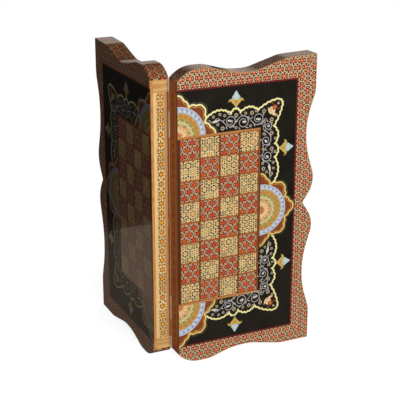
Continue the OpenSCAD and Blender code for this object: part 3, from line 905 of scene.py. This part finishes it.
# The edge slices are coloured darker and redder than those of the face border.
edge_look = border_look | {
    "start": (0, 10.4),
    "core": ((0, (200, 76, 46)), (0.5, (180, 58, 42)), (1, (196, 104, 56))),
    "flank": (146, 46, 30), "heart": (214, 116, 72), "tip": (40, 14, 10), "bone": (216, 172, 128),
    "net": (212, 168, 124), "knot": (84, 50, 34), "line": (150, 106, 72),
    "pale": ((0, (190, 140, 96)), (0.5, (150, 98, 66)), (0.8, (134, 112, 72))),
    "deep": ((0, (70, 40, 28)), (0.45, (104, 60, 40)), (0.75, (110, 90, 56))),
}
edge_inlay = finish("edge_inlay")
out = edge_inlay.place()[2]
run, bare = (edge_inlay.node("Attribute", {"attribute_name": title}, {}, "Fac")
             for title in ("edge_run", "bare"))
colour, line = star_inlay(edge_inlay, nearest_star(edge_inlay, run, out, edge_look), edge_look)
colour = edge_inlay.mix(bare > 0.5, colour, (196, 150, 100))
edge_inlay.lay(colour, coat=0.75, gloss=0.12, sheen=0, relief=line, height=line_depth)
for half in halves:
    for side in ("top", "bottom", "outer"):
        follow_edge(edge_inlay, half, f"{side}_edge_inlay", rising=side == "outer")


# Spine strips. Between the ends of the rails the spine is faced with a pale brown strip beside the
# rim, one row of stars, and a cream strip. On the right half all of them are painted darker and
# redder: painted warm shade.

rim_shade_out = 5.4
rim_strip, (across, up, out), colour, pores = sawn(
    "rim_strip_wood", "up out across", (232, 180, 108), (166, 108, 54), 1.8)
# Within a few millimetres of the rim the strip is painted dark brown: painted shade in the corner by the
# hinges.
colour = rim_strip.mix(out + pores * 4 < rim_shade_out, colour, (150, 92, 48))
colour = rim_strip.right_warm_shade(colour, pores, (255, 166, 80), (206, 98, 42))
rim_strip.lay(colour, relief=pores, **thin_varnish)
rim_strip.on("spine_rim_strip")

strip_low, strip_high = box_mm("spine_star_strip")
strip_middle = (strip_low[2] + strip_high[2]) / 2
spine_look = border_look | {
    "pitch": 16.4, "row": 14, "start": (11.4, strip_middle), "size": 5.8, "seed": 5,
    "core": ((0, (246, 172, 58)), (0.5, (240, 150, 52)), (0.8, (240, 140, 66)), (1, (230, 166, 62))),
    "flank": (226, 134, 40), "heart": (248, 182, 80), "tip": (52, 34, 18), "bone": (244, 202, 130),
    "net": (246, 202, 128), "knot": (96, 68, 34), "line": (172, 116, 54),
    "pale": ((0, (240, 190, 110)), (0.6, (248, 222, 170)), (0.8, (208, 138, 64))),
    "deep": ((0, (84, 62, 34)), (0.4, (210, 150, 80)), (0.65, (126, 106, 62)), (0.82, (250, 226, 170))),
}
warm_shade_spine_look = spine_look | {
    "core": ((0, (244, 90, 58)), (0.5, (226, 66, 48)), (1, (232, 112, 58))),
    "flank": (204, 60, 42), "heart": (244, 136, 88), "tip": (70, 26, 16), "bone": (254, 158, 78),
    "net": (254, 158, 76), "knot": (136, 62, 30), "line": (196, 110, 52),
    "pale": ((0, (252, 150, 72)), (0.5, (216, 150, 70)), (0.8, (242, 120, 60))),
    "deep": ((0, (104, 46, 22)), (0.5, (232, 120, 56)), (0.8, (190, 142, 68))),
}
spine = finish("spine_inlay")
up, out = spine.place()[1:]
side, rise, number, rim = nearest_star(spine, up, out, spine_look)
turned = (rise, side, number, rim)
pale, line = star_inlay(spine, turned, spine_look)
red, line = star_inlay(spine, turned, warm_shade_spine_look)
# The right half takes the darker, redder look: painted warm shade.
colour = spine.mix(spine.on_right(), pale, red)
spine.lay(colour, relief=line, height=line_depth, **thin_varnish)
spine.on("spine_star_strip")

boards("cream_wood", "up out across", (254, 224, 160), (236, 192, 124), 2.2,
       ("spine_cream_strip",), ((255, 166, 80), (208, 106, 46)))


# Rims and linings. A brown facing covers the rails where the two halves meet when the box is
# shut, and thin walls of the same wood line the trays.

boards("rim_wood", "up across out", (132, 78, 44), (84, 44, 26), 2, ("rim_facing",))
boards("lining_wood", "round out across", (176, 112, 62), (126, 72, 38), 2.4, ("wall_lining",))


# Corner beads. A thin light brown bead fills the corner where each half meets the other one, and it
# stops short of the hinges. It stands in for the dim gap between the halves and the light line
# along it: painted shade and painted highlight.

bead_reach = 0.02
bead_w = 0.9
bead_bend = 0.1
leaf_clear = 2
spine_x = strip_low[0]
rim_out = box_mm("rim_facing")[0][2]
rim_end = strip_high[1]
leaf_heights = (points_of(nodes["right_hinge_leaves"].data)[:, 2] - mid_height) * 1000
leaf_low = leaf_heights[leaf_heights > 0].min() - leaf_clear
leaf_high = leaf_heights.max() + leaf_clear


def bead(low, high):
    """A bead straight up between two heights: its section is an L round the corner, softly bent."""
    section = np.array([
        (spine_x, bead_w), (bead_reach, bead_w - bead_bend), (bead_reach, 0.12), (0.05, 0.05),
        (0.12, bead_reach), (bead_w - bead_bend, bead_reach), (bead_w, rim_out), (spine_x, rim_out)])
    return sweep(np.stack([np.insert(section, 1, up, 1) for up in (low, high)]))


# The bead's browns stand in for the dim gap and its light edge: painted shade and painted highlight.
varnish, colour, cloud = clouded("gap_shade_bead", (1, 0.08, 1), 3, (0, (150, 96, 60)), (1, (226, 164, 112)))
varnish.lay(colour, 0.5, coat=0.5)
beads = [bead(-rim_end, -leaf_high), bead(-leaf_low, leaf_low), bead(leaf_high, rim_end)]
joined("gap_shade_bead", varnish, beads, in_world)


# Backgammon board. The floor of each tray is walnut with twelve long points let into it, pale
# and dark by turns, each with a thin line of the other wood, and a star in the middle.

playing_low, playing_high = box_mm("playing_surface")
playing_x = playing_low[0]
playing_w = playing_high[0] - playing_x
playing_half_h = playing_high[1]
point_pitch = playing_w / 6
point_len = 160
point_gap = 1.2
point_line_w = 1
middle_star_r = 24
middle_rim_w = 1.4
middle_disc_r = 5

walnut, (across, up, out), colour, pores = sawn(
    "playing_wood", "up across out", (122, 76, 46), (72, 40, 24), 5)
beyond, beside, flank, radius = folded(walnut, across - (playing_x + playing_w / 2), up, 8)
edge = (beyond - middle_star_r) * 0.38 + beside * 0.92
star_colour = walnut.mix(flank, (196, 92, 44), (236, 202, 140))
colour = walnut.mix(edge < middle_rim_w, colour, (230, 206, 160))
colour = walnut.mix(edge < 0, colour, star_colour)
colour = walnut.mix(radius < middle_disc_r, colour, (60, 30, 20))
walnut.lay(colour, relief=pores)
walnut.on("playing_surface")


def point_line(made, across, up):
    """1 in a thin line along a backgammon point's two long sides.

    A point narrows evenly from its base at the end wall, so its half width is known at each height."""
    column = made.maths("FRACT", (across - playing_x) / point_pitch)
    half = abs(column - 0.5) * point_pitch
    from_base = playing_half_h - abs(up)
    reach = (1 - from_base / point_len) * (point_pitch / 2 - point_gap)
    return reach - half < point_line_w


for name, pale, deep, rim in (
    ("light_point_wood", (240, 210, 152), (212, 166, 104), (110, 44, 26)),
    ("dark_point_wood", (138, 48, 32), (86, 24, 18), (234, 204, 146)),
):
    point_wood, (across, up, out), colour, pores = sawn(name, "up across out", pale, deep, 3)
    colour = point_wood.mix(point_line(point_wood, across, up), colour, rim)
    point_wood.lay(colour, relief=pores)
    point_wood.on(name.replace("point_wood", "points"))


# Hinges. Two small nickelled hinges join the spines, their leaves let into the rims and held by
# countersunk screws, with a steel pin through the knuckles.

nickel, colour, brushed = clouded(
    "hinge_metal", (6, 0.4, 6), 4, (0, (218, 210, 180)), (1, (252, 248, 228)))
nickel.lay(colour, brushed * 0.2 + 0.4, coat=0, relief=brushed, height=line_depth)
nickel.feed(nickel.surface, {"Metallic": 0.45})
nickel.on("hinge_leaves", "hinge_screws")
for place in nodes["hinge_pins"].material_slots:
    place.material = nickel.block


# Table, light and camera. The box stands on a white table top, lit by a broad soft lamp in front
# and by a weak one behind that reaches only the trays. The table glows more towards its edges, so
# its shadow is faint, and the camera stands where the perspective of the squares puts it.

table_back = 0.5
table_front = -0.42
table_side = 1.6
shade_r = 0.5
wall_top = 0.45
wall_fade = 0.1


def grey(level):
    """A plain grey, from black at 0 to white at 1."""
    return (level, level, level, 1)


table = bpy.data.meshes.new("table_top")
table.from_pydata([(-table_side, table_front, 0), (table_side, table_front, 0),
                   (table_side, table_back, 0), (-table_side, table_back, 0)], [], [(0, 1, 2, 3)])
placed("table_top", table)
paper = finish("white_paper")
x, y = paper.axes("Object")[:2]
seen = paper.mix(paper.maths("MINIMUM", (x * x + y * y) / shade_r ** 2, 1), grey(0.85), grey(1))
mirrored = paper.mix(paper.ray("Glossy"), grey(0), (0.24, 0.185, 0.135, 1))
in_sight = paper.maths("MINIMUM", paper.ray("Camera") + paper.ray("Transmission"), 1)
paper.feed(paper.surface, {
    "Base Color": paper.mix(paper.ray("Camera"), grey(0.15), grey(0.5)), "Roughness": 1,
    "Specular IOR Level": 0, "Emission Color": paper.mix(in_sight, mirrored, seen), "Emission Strength": 1})
table.materials.append(paper.block)

world = bpy.data.worlds.new("studio")
bpy.context.scene.world = world
room = Finish(world)
back, skyward = room.axes("Generated")[1:]
low_down = room.maths("MINIMUM", room.maths("MAXIMUM", (wall_top - skyward) / wall_fade, 0), 1)
wall = low_down * (skyward > 0) * (back > 0)
mirrored = room.mix(wall, grey(0.015), (1.03, 0.89, 0.78, 1))
indirect = room.maths("MINIMUM", room.ray("Glossy") + room.ray("Transmission"), 1)
light = room.mix(indirect, grey(0.05), mirrored)
room.feed(room.surface, {"Color": room.mix(room.ray("Camera"), light, grey(1))})


def lamp(name, place, aim, size, watts, shines):
    """A square soft lamp at a place, turned towards what it lights, and whether varnish mirrors it."""
    light = bpy.data.lights.new(name, "AREA")
    light.size = size
    light.energy = watts
    piece = placed(name, light)
    piece.location = place
    piece.rotation_euler = (Vector(aim) - Vector(place)).to_track_quat("-Z", "Y").to_euler()
    piece.visible_glossy = shines


lamp("key_lamp", (-0.1, -2.4, 0.9), (-0.05, -0.1, 0.25), 1.0, 48, True)
lamp("back_lamp", (1.3, 1.4, 0.5), (0, 0, 0.25), 0.8, 16, False)

look_down = 19.276
look_aside = 24.974
lens = bpy.data.cameras.new("camera")
lens.lens = 94.89
viewer = placed("camera", lens)
viewer.location = (-0.7385, -1.5774, 0.8404)
viewer.rotation_euler = (math.radians(90 - look_down), 0, -math.radians(look_aside))
bpy.context.scene.camera = viewer
bpy.context.scene.view_settings.view_transform = "Standard"
